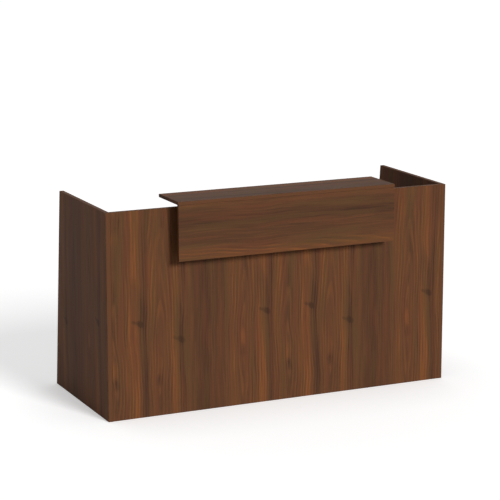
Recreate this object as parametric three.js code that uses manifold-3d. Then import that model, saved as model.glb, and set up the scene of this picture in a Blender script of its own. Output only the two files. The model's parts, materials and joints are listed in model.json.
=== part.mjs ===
// A free-standing reception desk in walnut-finish board, in millimetres, +Z up.
// Two end panels and a front panel make the carcass, a worktop lies between them, and a narrower
// raised counter with a hanging fascia stands over the front panel on folded steel brackets.
// X runs along the front, the visitor's side faces -Y, and the origin is on the floor in the
// middle of the footprint.

import * as THREE from "three";
import { mergeVertices } from "three/addons/utils/BufferGeometryUtils.js";
import Module from "manifold-3d";

// Carcass: the boards that stand on the floor
const DESK_WIDTH = 2000;
const CARCASS_HEIGHT = 1108;
const END_PANEL_FOOT_DEPTH = 810;
const END_PANEL_TOP_DEPTH = 700;
const CARCASS_BOARD = 25;
const EDGE_RADIUS = 1.5;

// Clearance between two pieces that touch on the real desk
const FIT_GAP = 0.3;

// Worktop for the person behind the desk, and the steel that carries it
const WORKTOP_HEIGHT = 740;
const WORKTOP_REAR_SETBACK = 35;
const ANGLE_LEG = 40;
const ANGLE_WALL = 3;
const ANGLE_BEND = 4;
const FRONT_ANGLE_END_INSET = 220;
const SIDE_ANGLE_FRONT_INSET = 70;
const SIDE_ANGLE_REAR_INSET = 60;
const FRONT_ANGLE_SCREWS = 5;
const SIDE_ANGLE_SCREWS = 3;
const ANGLE_SCREW_INSET = 40;
const STIFFENER_WIDTH = 20;
const STIFFENER_HEIGHT = 40;
const STIFFENER_WALL = 2;
const STIFFENER_CORNER = 4;
const STIFFENER_REAR_INSET = 60;
const STIFFENER_SCREWS = 5;
const STIFFENER_SCREW_INSET = 120;
const STIFFENER_ACCESS_RADIUS = 5;
const SCREW_HOLE = 5.5;

// Raised counter and its fascia
const COUNTER_WIDTH = 1265;
const COUNTER_DEPTH = 265;
const COUNTER_OVERHANG = 84;
const COUNTER_LIFT = 24;
const COUNTER_BOARD = 18;
const FASCIA_HEIGHT = 295;

// Folded steel brackets under the counter
const BRACKET_SPACING = 450;
const BRACKET_WIDTH = 40;
const BRACKET_WALL = 5;
const BRACKET_BEND = 9;
const BRACKET_FRONT_LEG = 70;
const BRACKET_REAR_LEG = 170;
const BRACKET_LEG_CORNER = 10;
const BRACKET_REAR_INSET = 22;
const BRACKET_HOLE_INSET = 18;
const BRACKET_LEG_TOP_HOLE_DROP = 50;
const GUSSET_WALL = 4;
const GUSSET_DROP = 85;
const GUSSET_TIP = 6;

// Distance sleeves that hold the fascia's foot off the front panel, and the bolts through them
const SPACER_SPACING = 900;
const SPACER_RADIUS = 10;
const SPACER_BORE_RADIUS = 4.5;
const SPACER_CHAMFER = 1;
const SPACER_FOOT_RISE = 60;
const FASCIA_BOLT_RADIUS = 3;
const FASCIA_BOLT_BITE = 12;
const FASCIA_BOLT_HEAD_RADIUS = 6.5;
const FASCIA_BOLT_HEAD_HEIGHT = 3.5;
const FASCIA_BOLT_HEAD_CHAMFER = 1;
const FASCIA_BOLT_SOCKET_RADIUS = 2.3;
const FASCIA_BOLT_SOCKET_DEPTH = 2.2;

// Corner joints: cams bored into the front panel, bolts into the end panels, dowels between
const CAM_END_INSET = 120;
const CAM_SETBACK = 34;
const CAM_RADIUS = 7.5;
const CAM_FLOOR = 1;
const CAM_RECESS_LENGTH = 9;
const CAM_RECESS_WIDTH = 1.8;
const CAM_RECESS_DEPTH = 3;
const BOLT_HEAD_RADIUS = 3.2;
const BOLT_HEAD_LENGTH = 3;
const BOLT_NECK_RADIUS = 1.8;
const BOLT_NECK_LENGTH = 4;
const BOLT_SHANK_RADIUS = 3;
const BOLT_THREAD_RADIUS = 2.5;
const BOLT_THREAD_LENGTH = 11;
const DOWEL_PITCH = 64;
const DOWEL_RADIUS = 4;
const DOWEL_LENGTH = 32;
const DOWEL_IN_END_PANEL = 12;
const DOWEL_CHAMFER = 1;

// Cable grommets, let in flush with the worktop
const GROMMET_SPREAD = 1200;
const GROMMET_FRONT_INSET = 110;
const GROMMET_HOLE_RADIUS = 40;
const GROMMET_WALL = 2.2;
const GROMMET_DEPTH = 20;
const GROMMET_FLANGE_REACH = 6;
const GROMMET_FLANGE_HEIGHT = 3;
const GROMMET_FLANGE_CHAMFER = 1.2;
const GROMMET_LEDGE_REACH = 3;
const GROMMET_LEDGE_HEIGHT = 2;
const CAP_THICKNESS = 3.4;
const NOTCH_WIDTH = 26;
const NOTCH_DEPTH = 27;

// Levelling feet: bracket with a weld nut, threaded stem, swivelling pad
const LEVELLER_END_INSET = 75;
const LEVELLER_PANEL_SPREAD = 900;
const LEVELLER_WALL_REACH = 24;
const LEVELLER_BRACKET_WIDTH = 50;
const LEVELLER_BRACKET_HEIGHT = 72;
const LEVELLER_BRACKET_WALL = 3;
const LEVELLER_BRACKET_BEND = 4;
const LEVELLER_SCREW_RISE = 20;
const LEVELLER_SCREW_SPREAD = 26;
const NUT_RADIUS = 9.2;
const NUT_HEIGHT = 8;
const STEM_RADIUS = 5;
const STEM_LENGTH = 58;
const STEM_CHAMFER = 1;
const STEM_FOOT_RADIUS = 8;
const STEM_FOOT_HEIGHT = 3;
const STEM_SOCKET_RADIUS = 2.9;
const STEM_SOCKET_DEPTH = 6;
const PAD_FLOOR_GAP = 1;
const PAD_RADIUS = 19;
const PAD_CROWN_RADIUS = 12;
const PAD_HEIGHT = 10;
const PAD_RIM_HEIGHT = 4;
const PAD_SOLE = 4;
const PAD_SHELF_GAP = 3;

// Fineness of round faces
const SMALL_SIDES = 10;
const ROUND_SIDES = 16;
const GROMMET_SIDES = 28;
const HEX_SIDES = 6;
const BEVEL_STEPS = 2;
const ARC_STEPS = 1;

// How far a cutting shape runs past the face that it opens
const OVERCUT = 2;
const MERGE_TOLERANCE = 1e-4;

// Levels and faces worked out from the sizes above, measured from the front face at y = 0
const INNER_FACE = CARCASS_BOARD;
const INNER_HALF_WIDTH = DESK_WIDTH / 2 - CARCASS_BOARD;
const BOARD_LENGTH = 2 * (INNER_HALF_WIDTH - FIT_GAP);
const WORKTOP_UNDERSIDE = WORKTOP_HEIGHT - CARCASS_BOARD;
const WORKTOP_FRONT = INNER_FACE + FIT_GAP;
const WORKTOP_REAR = endPanelRearAt(WORKTOP_HEIGHT) - WORKTOP_REAR_SETBACK;
const STIFFENER_FRONT = WORKTOP_REAR - STIFFENER_REAR_INSET - STIFFENER_WIDTH;
const COUNTER_UNDERSIDE = CARCASS_HEIGHT + COUNTER_LIFT;
const FASCIA_BACK = COUNTER_BOARD - COUNTER_OVERHANG;
const FASCIA_FOOT = COUNTER_UNDERSIDE - FIT_GAP - FASCIA_HEIGHT;
const SPACER_LEVEL = FASCIA_FOOT + SPACER_FOOT_RISE;
const GROMMET_CENTRE_Y = INNER_FACE + GROMMET_FRONT_INSET;
const GROMMET_BORE_RADIUS = GROMMET_HOLE_RADIUS - FIT_GAP - GROMMET_WALL;
const GROMMET_FLANGE_RADIUS = GROMMET_HOLE_RADIUS + GROMMET_FLANGE_REACH;
const LEVELLER_SHELF = PAD_FLOOR_GAP + PAD_HEIGHT + PAD_SHELF_GAP;
const FOOTPRINT_CENTRE_Y = (END_PANEL_FOOT_DEPTH - COUNTER_OVERHANG) / 2;

const SIDES = [
  { name: "left", sign: -1 },
  { name: "right", sign: 1 },
];
const CAM_LEVELS = [
  { name: "low", z: CAM_END_INSET },
  { name: "middle", z: CARCASS_HEIGHT / 2 },
  { name: "high", z: CARCASS_HEIGHT - CAM_END_INSET },
];
const DOWEL_LEVELS = [
  { name: "low", z: CAM_END_INSET + DOWEL_PITCH },
  { name: "high", z: CARCASS_HEIGHT - CAM_END_INSET - DOWEL_PITCH },
];

// Turns for a profile that is drawn flat and extruded along one axis of the desk:
// along X it is drawn as (y, z), and along Y it is drawn as (x, z) and runs towards the visitor
const ALONG_X = [Math.PI / 2, Math.PI / 2, 0];
const ALONG_Y = [Math.PI / 2, 0, 0];
const ALONG_Z = [0, 0, 0];

const walnut = new THREE.MeshStandardMaterial({ color: 0x61402d, roughness: 0.5, metalness: 0 });
const blackSteel = new THREE.MeshStandardMaterial({ color: 0x2a2a2b, roughness: 0.55, metalness: 0.4 });
const zincSteel = new THREE.MeshStandardMaterial({ color: 0xb4b6b8, roughness: 0.35, metalness: 1 });
const blackPlastic = new THREE.MeshStandardMaterial({ color: 0x1d1b1a, roughness: 0.6, metalness: 0 });
const beech = new THREE.MeshStandardMaterial({ color: 0xc79a6b, roughness: 0.7, metalness: 0 });

const wasm = await Module();
wasm.setup();

const desk = new THREE.Group();
desk.position.y = -FOOTPRINT_CENTRE_Y;

// The end panels' rear edge leans forward: its y at a height above the floor
function endPanelRearAt(z) {
  return END_PANEL_FOOT_DEPTH - ((END_PANEL_FOOT_DEPTH - END_PANEL_TOP_DEPTH) * z) / CARCASS_HEIGHT;
}

function toSolid(geometry) {
  const bare = geometry.clone();
  bare.deleteAttribute("normal");
  bare.deleteAttribute("uv");
  const merged = mergeVertices(bare, MERGE_TOLERANCE);
  const mesh = new wasm.Mesh({
    numProp: 3,
    vertProperties: new Float32Array(merged.attributes.position.array),
    triVerts: new Uint32Array(merged.index.array),
  });
  return new wasm.Manifold(mesh);
}

function toGeometry(solid) {
  const mesh = solid.getMesh();
  const geometry = new THREE.BufferGeometry();
  geometry.setAttribute("position", new THREE.BufferAttribute(mesh.vertProperties, 3));
  geometry.setIndex(new THREE.BufferAttribute(mesh.triVerts, 1));
  geometry.computeVertexNormals();
  return geometry;
}

function cut(blank, cutters) {
  const rest = cutters.reduce((solid, cutter) => solid.subtract(toSolid(cutter)), toSolid(blank));
  return toGeometry(rest);
}

function join(pieces) {
  const [first, ...others] = pieces.map(toSolid);
  return toGeometry(others.reduce((solid, other) => solid.add(other), first));
}

function add(parent, name, geometry, material, position, rotation = ALONG_Z) {
  const mesh = new THREE.Mesh(geometry, material);
  mesh.name = name;
  mesh.position.set(...position);
  mesh.rotation.set(...rotation);
  parent.add(mesh);
}

// A closed outline through corners given as [x, y, radius], in counter-clockwise order
function outline(corners) {
  const shape = new THREE.Shape();
  const count = corners.length;
  corners.forEach(([x, y, radius = 0], index) => {
    if (radius === 0) {
      const draw = index === 0 ? "moveTo" : "lineTo";
      shape[draw](x, y);
      return;
    }
    const corner = new THREE.Vector2(x, y);
    const back = new THREE.Vector2(...corners[(index + count - 1) % count]).sub(corner).normalize();
    const ahead = new THREE.Vector2(...corners[(index + 1) % count]).sub(corner).normalize();
    const halfAngle = Math.acos(back.dot(ahead)) / 2;
    const inward = back.clone().add(ahead).setLength(radius / Math.sin(halfAngle));
    const centre = corner.clone().add(inward);
    const reach = radius / Math.tan(halfAngle);
    const turnsRight = back.cross(ahead) > 0;
    const start = back.multiplyScalar(reach).sub(inward).angle();
    const end = ahead.multiplyScalar(reach).sub(inward).angle();
    shape.absarc(centre.x, centre.y, radius, start, end, turnsRight);
  });
  shape.closePath();
  return shape;
}

function extrude(shape, depth) {
  return new THREE.ExtrudeGeometry(shape, { depth, bevelEnabled: false, curveSegments: ARC_STEPS });
}

// A board with its edges rounded all round on both faces, as edging leaves them
function edgedBoard(shape, thickness) {
  const geometry = new THREE.ExtrudeGeometry(shape, {
    depth: thickness - 2 * EDGE_RADIUS,
    bevelSize: EDGE_RADIUS,
    bevelThickness: EDGE_RADIUS,
    bevelOffset: -EDGE_RADIUS,
    bevelSegments: BEVEL_STEPS,
  });
  return geometry.translate(0, 0, EDGE_RADIUS);
}

function rectangle(width, height, corner = 0) {
  return outline([
    [0, 0, corner],
    [width, 0, corner],
    [width, height, corner],
    [0, height, corner],
  ]);
}

// A round rod from a starting point towards +axis
function rod(radius, length, axis, start, sides = SMALL_SIDES) {
  const geometry = new THREE.CylinderGeometry(radius, radius, length, sides);
  geometry.translate(0, length / 2, 0);
  if (axis === "x") {
    geometry.rotateZ(-Math.PI / 2);
  } else if (axis === "z") {
    geometry.rotateX(Math.PI / 2);
  }
  return geometry.translate(...start);
}

// A round piece about +Z from a profile of [radius, height] points that runs round the section
// with the piece on its left
function turned(profile, sides) {
  const points = profile.map(([radius, height]) => new THREE.Vector2(radius, height));
  return new THREE.LatheGeometry(points, sides).rotateX(Math.PI / 2);
}

// Places of a row of screws between two insets, evenly spread
function spread(count, from, to) {
  return Array.from({ length: count }, (_, index) => from + ((to - from) * index) / (count - 1));
}

// End panels: tapered boards with the bolt and dowel bores in their inner face
function addEndPanel({ name, sign }) {
  const blank = edgedBoard(
    outline([
      [0, 0],
      [END_PANEL_FOOT_DEPTH, 0],
      [END_PANEL_TOP_DEPTH, CARCASS_HEIGHT],
      [0, CARCASS_HEIGHT],
    ]),
    CARCASS_BOARD,
  );
  const bore = (radius, depth, z) => {
    const start = sign < 0 ? CARCASS_BOARD - depth : -OVERCUT;
    return rod(radius, depth + OVERCUT, "z", [CARCASS_BOARD / 2, z, start]);
  };
  const bores = [
    ...CAM_LEVELS.map(({ z }) => bore(BOLT_THREAD_RADIUS + FIT_GAP, BOLT_THREAD_LENGTH + FIT_GAP, z)),
    ...DOWEL_LEVELS.map(({ z }) => bore(DOWEL_RADIUS, DOWEL_IN_END_PANEL + FIT_GAP, z)),
  ];
  const outerFace = sign < 0 ? -DESK_WIDTH / 2 : INNER_HALF_WIDTH;
  add(desk, `${name}_end_panel`, cut(blank, bores), walnut, [outerFace, 0, 0], ALONG_X);
}

// Front panel: bored at both ends for bolts and dowels, on its inner face for the cams, and right
// through for the fascia's bolts
function addFrontPanel() {
  const blank = extrude(rectangle(CARCASS_BOARD, CARCASS_HEIGHT, EDGE_RADIUS), BOARD_LENGTH);
  const camDepth = CARCASS_BOARD / 2 + BOLT_HEAD_RADIUS + FIT_GAP + CAM_FLOOR;
  const dowelDepth = DOWEL_LENGTH - DOWEL_IN_END_PANEL + FIT_GAP;
  const bores = SIDES.flatMap(({ sign }) => {
    const endBore = (radius, depth, z) => {
      const start = sign < 0 ? -OVERCUT : BOARD_LENGTH - depth;
      return rod(radius, depth + OVERCUT, "z", [CARCASS_BOARD / 2, z, start]);
    };
    const camCentre = sign < 0 ? CAM_SETBACK : BOARD_LENGTH - CAM_SETBACK;
    const camBore = (z) =>
      rod(CAM_RADIUS, camDepth + OVERCUT, "x", [INNER_FACE - camDepth, z, camCentre], ROUND_SIDES);
    const fasciaBoltStart = [-OVERCUT, SPACER_LEVEL, (BOARD_LENGTH + sign * SPACER_SPACING) / 2];
    return [
      ...CAM_LEVELS.map(({ z }) => endBore(BOLT_HEAD_RADIUS + FIT_GAP, CAM_SETBACK, z)),
      ...CAM_LEVELS.map(({ z }) => camBore(z)),
      ...DOWEL_LEVELS.map(({ z }) => endBore(DOWEL_RADIUS, dowelDepth, z)),
      rod(FASCIA_BOLT_RADIUS + FIT_GAP, CARCASS_BOARD + 2 * OVERCUT, "x", fasciaBoltStart),
    ];
  });
  add(desk, "front_panel", cut(blank, bores), walnut, [-BOARD_LENGTH / 2, 0, 0], ALONG_X);
}

// Cams: zinc drums with a way in for the bolt's head and a cross recess for the driver
function addCam({ name, sign }, level) {
  const radius = CAM_RADIUS - FIT_GAP;
  const boltAxis = CARCASS_BOARD / 2 - FIT_GAP;
  const length = boltAxis + BOLT_HEAD_RADIUS + CAM_FLOOR;
  const drum = rod(radius, length, "y", [0, -length, 0], ROUND_SIDES);
  const wayInStart = [sign < 0 ? -CAM_RADIUS : -BOLT_HEAD_LENGTH, -boltAxis, 0];
  const wayIn = rod(BOLT_HEAD_RADIUS + FIT_GAP, CAM_RADIUS + BOLT_HEAD_LENGTH, "x", wayInStart);
  const recesses = [0, Math.PI / 2].map((turn) =>
    new THREE.BoxGeometry(CAM_RECESS_LENGTH, 2 * CAM_RECESS_DEPTH, CAM_RECESS_WIDTH).rotateY(turn),
  );
  const x = sign * (BOARD_LENGTH / 2 - CAM_SETBACK);
  const geometry = cut(drum, [wayIn, ...recesses]);
  add(desk, `cam_${name}_${level.name}`, geometry, zincSteel, [x, INNER_FACE - FIT_GAP, level.z]);
}

// Cam bolts: screwed into the end panel, with the head inside the cam
function addCamBolt({ name, sign }, level) {
  const headTip = CAM_SETBACK + FIT_GAP + BOLT_HEAD_LENGTH / 2;
  const profile = [
    [0, -BOLT_THREAD_LENGTH],
    [BOLT_THREAD_RADIUS, -BOLT_THREAD_LENGTH],
    [BOLT_THREAD_RADIUS, FIT_GAP],
    [BOLT_SHANK_RADIUS, FIT_GAP],
    [BOLT_SHANK_RADIUS, headTip - BOLT_HEAD_LENGTH - BOLT_NECK_LENGTH],
    [BOLT_NECK_RADIUS, headTip - BOLT_HEAD_LENGTH - BOLT_NECK_LENGTH],
    [BOLT_NECK_RADIUS, headTip - BOLT_HEAD_LENGTH],
    [BOLT_HEAD_RADIUS, headTip - BOLT_HEAD_LENGTH],
    [BOLT_HEAD_RADIUS, headTip],
    [0, headTip],
  ];
  const place = [sign * INNER_HALF_WIDTH, CARCASS_BOARD / 2, level.z];
  const turn = [0, -sign * (Math.PI / 2), 0];
  add(desk, `cam_bolt_${name}_${level.name}`, turned(profile, SMALL_SIDES), zincSteel, place, turn);
}

// Dowels: plain beech pins that keep the panels in line
function addDowel({ name, sign }, level) {
  const radius = DOWEL_RADIUS - FIT_GAP;
  const tip = DOWEL_LENGTH - DOWEL_IN_END_PANEL;
  const profile = [
    [0, -DOWEL_IN_END_PANEL],
    [radius - DOWEL_CHAMFER, -DOWEL_IN_END_PANEL],
    [radius, DOWEL_CHAMFER - DOWEL_IN_END_PANEL],
    [radius, tip - DOWEL_CHAMFER],
    [radius - DOWEL_CHAMFER, tip],
    [0, tip],
  ];
  const place = [sign * INNER_HALF_WIDTH, CARCASS_BOARD / 2, level.z];
  const turn = [0, -sign * (Math.PI / 2), 0];
  add(desk, `dowel_${name}_${level.name}`, turned(profile, SMALL_SIDES), beech, place, turn);
}

// Worktop: square where it meets the panels, rounded along the rear edge, with two cable holes
// that are stepped for the grommets' flanges
function addWorktop() {
  const blank = extrude(
    outline([
      [WORKTOP_FRONT, 0],
      [WORKTOP_REAR, 0, EDGE_RADIUS],
      [WORKTOP_REAR, CARCASS_BOARD, EDGE_RADIUS],
      [WORKTOP_FRONT, CARCASS_BOARD],
    ]),
    BOARD_LENGTH,
  );
  const stepDepth = GROMMET_FLANGE_HEIGHT + FIT_GAP;
  const holes = SIDES.flatMap(({ sign }) => {
    const along = (BOARD_LENGTH + sign * GROMMET_SPREAD) / 2;
    const start = [GROMMET_CENTRE_Y, -OVERCUT, along];
    const stepStart = [GROMMET_CENTRE_Y, CARCASS_BOARD - stepDepth, along];
    return [
      rod(GROMMET_HOLE_RADIUS, CARCASS_BOARD + 2 * OVERCUT, "y", start, GROMMET_SIDES),
      rod(GROMMET_FLANGE_RADIUS + FIT_GAP, stepDepth + OVERCUT, "y", stepStart, GROMMET_SIDES),
    ];
  });
  const place = [-BOARD_LENGTH / 2, 0, WORKTOP_UNDERSIDE];
  add(desk, "worktop", cut(blank, holes), walnut, place, ALONG_X);
}

// A folded angle: one leg up a panel, one leg under the worktop, with screw holes in both.
// It is drawn with the fold at the top and the panel on the left.
function foldedAngle(length, screws) {
  const blank = extrude(
    outline([
      [0, -ANGLE_LEG],
      [ANGLE_WALL, -ANGLE_LEG],
      [ANGLE_WALL, -ANGLE_WALL, ANGLE_BEND - ANGLE_WALL],
      [ANGLE_LEG, -ANGLE_WALL],
      [ANGLE_LEG, 0],
      [0, 0, ANGLE_BEND],
    ]),
    length,
  );
  const middle = (ANGLE_WALL + ANGLE_LEG) / 2;
  const through = ANGLE_WALL + 2 * OVERCUT;
  const holes = spread(screws, ANGLE_SCREW_INSET, length - ANGLE_SCREW_INSET).flatMap((along) => [
    rod(SCREW_HOLE / 2, through, "x", [-OVERCUT, -middle, along]),
    rod(SCREW_HOLE / 2, through, "y", [middle, -ANGLE_WALL - OVERCUT, along]),
  ]);
  return cut(blank, holes);
}

function addWorktopAngles() {
  const top = WORKTOP_UNDERSIDE - FIT_GAP;
  const frontLength = BOARD_LENGTH - 2 * FRONT_ANGLE_END_INSET;
  const frontPlace = [-frontLength / 2, INNER_FACE + FIT_GAP, top];
  const frontAngle = foldedAngle(frontLength, FRONT_ANGLE_SCREWS);
  add(desk, "worktop_angle_front", frontAngle, blackSteel, frontPlace, ALONG_X);

  const sideFront = INNER_FACE + SIDE_ANGLE_FRONT_INSET;
  const sideRear = STIFFENER_FRONT - SIDE_ANGLE_REAR_INSET;
  SIDES.forEach(({ name, sign }) => {
    const angle = foldedAngle(sideRear - sideFront, SIDE_ANGLE_SCREWS);
    const place = [sign * (INNER_HALF_WIDTH - FIT_GAP), sign < 0 ? sideRear : sideFront, top];
    const turn = sign < 0 ? ALONG_Y : [Math.PI / 2, Math.PI, 0];
    add(desk, `worktop_angle_${name}`, angle, blackSteel, place, turn);
  });
}

// Stiffener: rectangular tube under the worktop's rear edge, with screw holes in its top wall and
// wider holes below them that let the driver in
function addStiffener() {
  const section = rectangle(STIFFENER_WIDTH, STIFFENER_HEIGHT, STIFFENER_CORNER);
  const bore = rectangle(
    STIFFENER_WIDTH - 2 * STIFFENER_WALL,
    STIFFENER_HEIGHT - 2 * STIFFENER_WALL,
    STIFFENER_CORNER - STIFFENER_WALL,
  );
  const hollow = extrude(bore, BOARD_LENGTH + 2 * OVERCUT);
  hollow.translate(STIFFENER_WALL, STIFFENER_WALL, -OVERCUT);
  const through = STIFFENER_WALL + 2 * OVERCUT;
  const topStart = STIFFENER_HEIGHT - STIFFENER_WALL - OVERCUT;
  const screwPlaces = spread(STIFFENER_SCREWS, STIFFENER_SCREW_INSET, BOARD_LENGTH - STIFFENER_SCREW_INSET);
  const holes = screwPlaces.flatMap((along) => [
    rod(SCREW_HOLE / 2, through, "y", [STIFFENER_WIDTH / 2, topStart, along]),
    rod(STIFFENER_ACCESS_RADIUS, through, "y", [STIFFENER_WIDTH / 2, -OVERCUT, along]),
  ]);
  const place = [-BOARD_LENGTH / 2, STIFFENER_FRONT, WORKTOP_UNDERSIDE - FIT_GAP - STIFFENER_HEIGHT];
  const tube = cut(extrude(section, BOARD_LENGTH), [hollow, ...holes]);
  add(desk, "worktop_stiffener", tube, blackSteel, place, ALONG_X);
}

function addCounter() {
  const top = edgedBoard(rectangle(COUNTER_WIDTH, COUNTER_DEPTH), COUNTER_BOARD);
  add(desk, "counter_top", top, walnut, [-COUNTER_WIDTH / 2, -COUNTER_OVERHANG, COUNTER_UNDERSIDE]);

  const fascia = edgedBoard(rectangle(COUNTER_WIDTH, FASCIA_HEIGHT), COUNTER_BOARD);
  const boltBores = SIDES.map(({ sign }) => {
    const start = [(COUNTER_WIDTH + sign * SPACER_SPACING) / 2, SPACER_FOOT_RISE, -OVERCUT];
    return rod(FASCIA_BOLT_RADIUS + FIT_GAP, OVERCUT + FASCIA_BOLT_BITE + FIT_GAP, "z", start);
  });
  const place = [-COUNTER_WIDTH / 2, FASCIA_BACK, FASCIA_FOOT];
  add(desk, "counter_fascia", cut(fascia, boltBores), walnut, place, ALONG_Y);
}

// Counter bracket: a strap folded down behind the fascia, a rear leg on the front panel's inner
// face, and a gusset between the rear leg and the arm
function counterBracket() {
  const front = FASCIA_BACK + FIT_GAP;
  const rear = COUNTER_DEPTH - COUNTER_OVERHANG - BRACKET_REAR_INSET;
  const legFace = INNER_FACE + FIT_GAP;
  const legBack = legFace + BRACKET_WALL;
  const strap = extrude(
    outline([
      [front, -BRACKET_FRONT_LEG],
      [front + BRACKET_WALL, -BRACKET_FRONT_LEG],
      [front + BRACKET_WALL, -BRACKET_WALL, BRACKET_BEND - BRACKET_WALL],
      [rear, -BRACKET_WALL],
      [rear, 0],
      [front, 0, BRACKET_BEND],
    ]),
    BRACKET_WIDTH,
  );
  const legHeight = BRACKET_REAR_LEG - BRACKET_WALL / 2;
  const legShape = outline([
    [0, 0, BRACKET_LEG_CORNER],
    [BRACKET_WIDTH, 0, BRACKET_LEG_CORNER],
    [BRACKET_WIDTH, legHeight],
    [0, legHeight],
  ]);
  const leg = extrude(legShape, BRACKET_WALL);
  leg.rotateY(-Math.PI / 2).translate(legBack, -BRACKET_REAR_LEG, 0);
  const weld = BRACKET_WALL / 2;
  const gusset = extrude(
    outline([
      [legBack - weld, -BRACKET_WALL - GUSSET_DROP],
      [legBack + GUSSET_TIP, -BRACKET_WALL - GUSSET_DROP],
      [rear - GUSSET_TIP, -BRACKET_WALL - GUSSET_TIP],
      [rear - GUSSET_TIP, -weld],
      [legBack - weld, -weld],
    ]),
    GUSSET_WALL,
  );
  gusset.translate(0, 0, (BRACKET_WIDTH - GUSSET_WALL) / 2);

  const through = BRACKET_WALL + 2 * OVERCUT;
  const edges = [BRACKET_HOLE_INSET / 2, BRACKET_WIDTH - BRACKET_HOLE_INSET / 2];
  const holes = edges.flatMap((z) => [
    rod(SCREW_HOLE / 2, through, "y", [rear - BRACKET_HOLE_INSET, -BRACKET_WALL - OVERCUT, z]),
    rod(SCREW_HOLE / 2, through, "y", [INNER_FACE / 2, -BRACKET_WALL - OVERCUT, z]),
    rod(SCREW_HOLE / 2, through, "x", [legFace - OVERCUT, BRACKET_HOLE_INSET - BRACKET_REAR_LEG, z]),
    rod(SCREW_HOLE / 2, through, "x", [legFace - OVERCUT, -BRACKET_LEG_TOP_HOLE_DROP, z]),
    rod(SCREW_HOLE / 2, through, "x", [front - OVERCUT, BRACKET_HOLE_INSET - BRACKET_FRONT_LEG, z]),
  ]);
  return cut(join([strap, leg, gusset]), holes);
}

function addCounterBrackets() {
  const top = COUNTER_UNDERSIDE - FIT_GAP;
  ["left", "centre", "right"].forEach((name, index) => {
    const x = (index - 1) * BRACKET_SPACING - BRACKET_WIDTH / 2;
    add(desk, `counter_bracket_${name}`, counterBracket(), blackSteel, [x, 0, top], ALONG_X);
  });
}

function addFasciaSpacers() {
  const length = -FASCIA_BACK - 2 * FIT_GAP;
  const profile = [
    [SPACER_BORE_RADIUS, 0],
    [SPACER_RADIUS - SPACER_CHAMFER, 0],
    [SPACER_RADIUS, SPACER_CHAMFER],
    [SPACER_RADIUS, length - SPACER_CHAMFER],
    [SPACER_RADIUS - SPACER_CHAMFER, length],
    [SPACER_BORE_RADIUS, length],
    [SPACER_BORE_RADIUS, 0],
  ];
  SIDES.forEach(({ name, sign }) => {
    const place = [(sign * SPACER_SPACING) / 2, -FIT_GAP, SPACER_LEVEL];
    add(desk, `fascia_spacer_${name}`, turned(profile, ROUND_SIDES), zincSteel, place, ALONG_Y);
  });
}

// Fascia bolts: head with a hex socket on the front panel's inner face, shank through the panel
// and the spacer, end in the back of the fascia
function fasciaBolt() {
  const length = INNER_FACE + FIT_GAP - FASCIA_BACK + FASCIA_BOLT_BITE;
  const head = -FASCIA_BOLT_HEAD_HEIGHT;
  const blank = turned(
    [
      [0, head],
      [FASCIA_BOLT_HEAD_RADIUS - FASCIA_BOLT_HEAD_CHAMFER, head],
      [FASCIA_BOLT_HEAD_RADIUS, head + FASCIA_BOLT_HEAD_CHAMFER],
      [FASCIA_BOLT_HEAD_RADIUS, 0],
      [FASCIA_BOLT_RADIUS, 0],
      [FASCIA_BOLT_RADIUS, length],
      [0, length],
    ],
    ROUND_SIDES,
  );
  const socketStart = [0, 0, head - OVERCUT];
  const socketLength = OVERCUT + FASCIA_BOLT_SOCKET_DEPTH;
  return cut(blank, [rod(FASCIA_BOLT_SOCKET_RADIUS, socketLength, "z", socketStart, HEX_SIDES)]);
}

function addFasciaBolts() {
  SIDES.forEach(({ name, sign }) => {
    const place = [(sign * SPACER_SPACING) / 2, INNER_FACE + FIT_GAP, SPACER_LEVEL];
    add(desk, `fascia_bolt_${name}`, fasciaBolt(), zincSteel, place, ALONG_Y);
  });
}

// Grommet sleeve: flange in the worktop's step, barrel in the hole, ledge inside that carries the cap
function grommetSleeve() {
  const barrel = GROMMET_HOLE_RADIUS - FIT_GAP;
  const flange = GROMMET_FLANGE_RADIUS;
  const ledge = GROMMET_BORE_RADIUS - GROMMET_LEDGE_REACH;
  const ledgeTop = -CAP_THICKNESS - FIT_GAP;
  return turned(
    [
      [ledge, ledgeTop - GROMMET_LEDGE_HEIGHT],
      [GROMMET_BORE_RADIUS, ledgeTop - GROMMET_LEDGE_HEIGHT],
      [GROMMET_BORE_RADIUS, -GROMMET_DEPTH],
      [barrel, -GROMMET_DEPTH],
      [barrel, -GROMMET_FLANGE_HEIGHT],
      [flange, -GROMMET_FLANGE_HEIGHT],
      [flange, -GROMMET_FLANGE_CHAMFER],
      [flange - GROMMET_FLANGE_CHAMFER, 0],
      [GROMMET_BORE_RADIUS, 0],
      [GROMMET_BORE_RADIUS, ledgeTop],
      [ledge, ledgeTop],
      [ledge, ledgeTop - GROMMET_LEDGE_HEIGHT],
    ],
    GROMMET_SIDES,
  );
}

// Grommet cap: a disc on the ledge with a round-ended notch for cables at its rim
function grommetCap() {
  const radius = GROMMET_BORE_RADIUS - FIT_GAP;
  const disc = rod(radius, CAP_THICKNESS, "z", [0, 0, 0], GROMMET_SIDES);
  const half = NOTCH_WIDTH / 2;
  const notch = extrude(
    outline([
      [-half, radius - NOTCH_DEPTH, half / 2],
      [half, radius - NOTCH_DEPTH, half / 2],
      [half, radius + OVERCUT],
      [-half, radius + OVERCUT],
    ]),
    CAP_THICKNESS + 2 * OVERCUT,
  );
  return cut(disc, [notch.translate(0, 0, -OVERCUT)]);
}

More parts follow.
